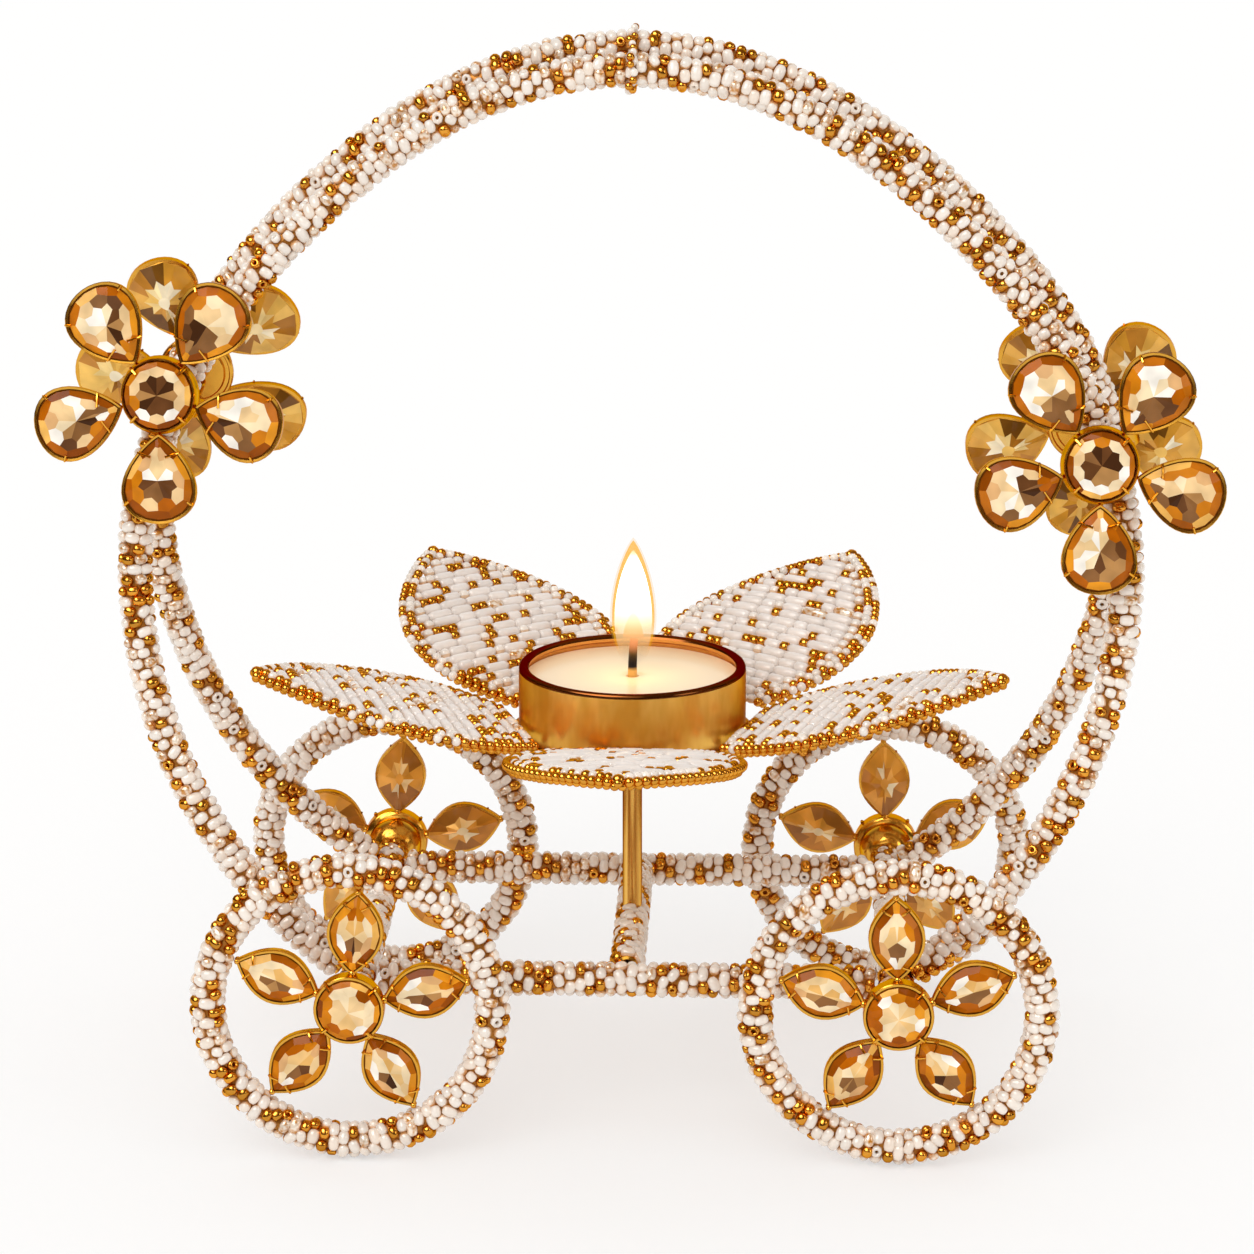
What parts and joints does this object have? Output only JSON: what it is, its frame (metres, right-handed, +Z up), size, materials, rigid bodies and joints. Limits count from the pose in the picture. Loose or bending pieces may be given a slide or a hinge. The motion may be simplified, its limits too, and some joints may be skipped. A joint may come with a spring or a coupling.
{
  "type": "tealight holder",
  "caption": "Carriage-shaped tealight holder: leaning beaded hoops with jewelled flowers over a beaded frame on turning jewelled wheels, and a candle dish ringed by beaded leaves.",
  "frame": {"origin": "on the ground under the middle of the holder's bounding box", "axes": "+X to the right as the front of the carriage is seen, +Y from front to rear, +Z up"},
  "size_m": [0.1914, 0.1186, 0.1785],
  "materials": {
    "beads": "pearl-white glass seed beads with some gold ones, wound on wire",
    "gold_beads": "small polished gold beads",
    "gold": "polished gold plating",
    "jewel": "foil-backed amber stones in thin gold settings",
    "steel": "plated steel wire and tin plate",
    "cup": "gold lacquered foil",
    "wax": "cream candle wax",
    "wick": "charred cotton cord"
  },
  "bodies": {
    "carriage": {"front_side_bar": "beads", "front_hoop": "beads", "rear_side_bar": "beads", "rear_hoop": "beads", "hoop_tie": "gold_beads", "left_axle_strand": "beads", "left_axle_rod": "steel", "right_axle_strand": "beads", "right_axle_rod": "steel", "centre_bar": "beads", "candle_post": "gold", "candle_dish": "gold", "front_leaf": "beads", "front_leaf_edging": "gold_beads", "right_leaf": "beads", "right_leaf_edging": "gold_beads", "rear_right_leaf": "beads", "rear_right_leaf_edging": "gold_beads", "rear_left_leaf": "beads", "rear_left_leaf_edging": "gold_beads", "left_leaf": "beads", "left_leaf_edging": "gold_beads", "front_left_flower_clip": "gold", "front_left_flower_setting": "jewel", "front_left_flower_centre_stone": "jewel", "front_right_flower_clip": "gold", "front_right_flower_setting": "jewel", "front_right_flower_centre_stone": "jewel", "rear_left_flower_clip": "gold", "rear_left_flower_setting": "jewel", "rear_left_flower_centre_stone": "jewel", "rear_right_flower_clip": "gold", "rear_right_flower_setting": "jewel", "rear_right_flower_centre_stone": "jewel"},
    "front_left_wheel": {"front_left_wheel_rim": "beads", "front_left_wheel_star": "jewel", "front_left_wheel_hub_stone": "jewel"},
    "front_right_wheel": {"front_right_wheel_rim": "beads", "front_right_wheel_star": "jewel", "front_right_wheel_hub_stone": "jewel"},
    "rear_left_wheel": {"rear_left_wheel_rim": "beads", "rear_left_wheel_star": "jewel", "rear_left_wheel_hub_stone": "jewel"},
    "rear_right_wheel": {"rear_right_wheel_rim": "beads", "rear_right_wheel_star": "jewel", "rear_right_wheel_hub_stone": "jewel"},
    "tealight": {"tealight_cup": "cup", "tealight_wax": "wax", "wick_sustainer": "steel", "wick": "wick"}
  },
  "joints": [
    {"name": "front_left_wheel_turn", "type": "hinge", "parent": "carriage", "child": "front_left_wheel", "pos_m": [-0.04412, -0.0361, 0.026], "axis": [0, 1, 0], "continuous": true},
    {"name": "front_right_wheel_turn", "type": "hinge", "parent": "carriage", "child": "front_right_wheel", "pos_m": [0.04388, -0.0361, 0.026], "axis": [0, 1, 0], "continuous": true},
    {"name": "rear_left_wheel_turn", "type": "hinge", "parent": "carriage", "child": "rear_left_wheel", "pos_m": [-0.04412, 0.04791, 0.026], "axis": [0, 1, 0], "continuous": true},
    {"name": "rear_right_wheel_turn", "type": "hinge", "parent": "carriage", "child": "rear_right_wheel", "pos_m": [0.04388, 0.04791, 0.026], "axis": [0, 1, 0], "continuous": true},
    {"name": "tealight_lift", "type": "slide", "parent": "carriage", "child": "tealight", "axis": [0, 0, 1], "range_m": [0, 0.035]}
  ]
}
